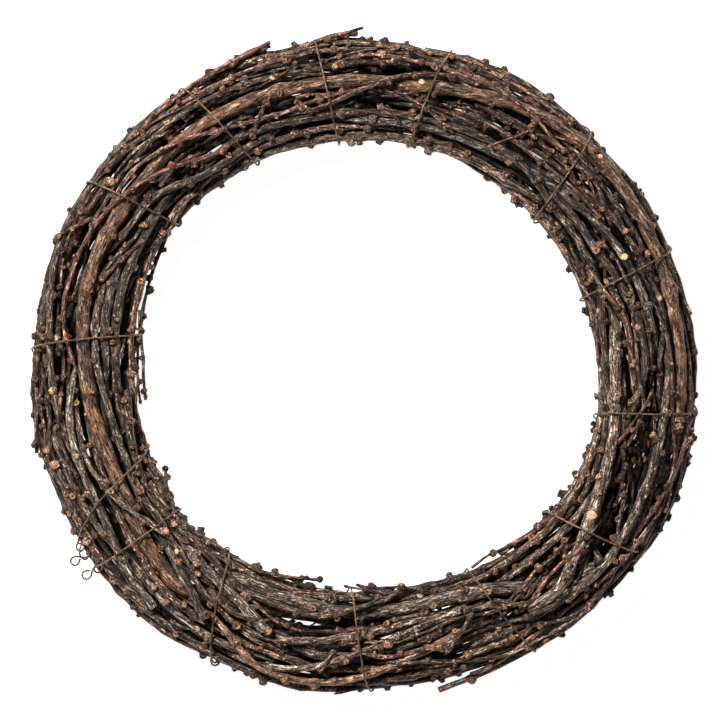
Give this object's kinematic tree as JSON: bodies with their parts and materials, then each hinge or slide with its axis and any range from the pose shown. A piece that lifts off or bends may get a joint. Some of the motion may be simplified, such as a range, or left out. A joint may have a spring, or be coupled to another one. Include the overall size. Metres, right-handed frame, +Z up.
{
  "type": "twig wreath",
  "caption": "Round wreath of bare knobby brown twigs and vines, wound into a thick ring and bound with one thin spiral wire.",
  "frame": {"origin": "middle of the wreath's outline, on the surface that it lies on; the ring's own centre is 0.4 mm along -X and 3.3 mm along -Y from it", "axes": "+Z up out of the front of the wreath, +Y towards its top as it would hang, +X to the right seen from the front"},
  "size_m": [0.3526, 0.3534, 0.0458],
  "materials": {
    "vine_bark": "light brown rough bark",
    "cane_bark": "grey-brown rough bark",
    "twig_bark": "dark brown rough bark",
    "red_bark": "red-brown smoother bark",
    "rusty_wire": "dark rusty annealed wire"
  },
  "bodies": {
    "root": {"binding_wire": "rusty_wire", "cane_01": "cane_bark", "cane_02": "cane_bark", "cane_03": "cane_bark", "cane_04": "cane_bark", "cane_05": "cane_bark", "cane_06": "cane_bark", "cane_07": "cane_bark", "cane_08": "cane_bark", "cane_09": "cane_bark", "cane_10": "cane_bark", "cane_11": "cane_bark", "cane_12": "cane_bark", "cane_13": "cane_bark", "cane_14": "cane_bark", "cane_15": "cane_bark", "cane_16": "cane_bark", "cane_17": "cane_bark", "cane_18": "cane_bark", "red_twig_01": "red_bark", "red_twig_02": "red_bark", "red_twig_03": "red_bark", "red_twig_04": "red_bark", "red_twig_05": "red_bark", "red_twig_06": "red_bark", "red_twig_07": "red_bark", "red_twig_08": "red_bark", "red_twig_09": "red_bark", "red_twig_10": "red_bark", "red_twig_11": "red_bark", "red_twig_12": "red_bark", "twig_01": "twig_bark", "twig_02": "twig_bark", "twig_03": "twig_bark", "twig_04": "twig_bark", "twig_05": "twig_bark", "twig_06": "twig_bark", "twig_07": "twig_bark", "twig_08": "twig_bark", "twig_09": "twig_bark", "twig_10": "twig_bark", "twig_11": "twig_bark", "twig_12": "twig_bark", "twig_13": "twig_bark", "twig_14": "twig_bark", "twig_15": "twig_bark", "twig_16": "twig_bark", "twig_17": "twig_bark", "twig_18": "twig_bark", "twig_19": "twig_bark", "twig_20": "twig_bark", "twig_21": "twig_bark", "twig_22": "twig_bark", "twig_23": "twig_bark", "twig_24": "twig_bark", "twig_25": "twig_bark", "twig_26": "twig_bark", "vine_01": "vine_bark", "vine_02": "cane_bark", "vine_03": "cane_bark"}
  },
  "joints": []
}
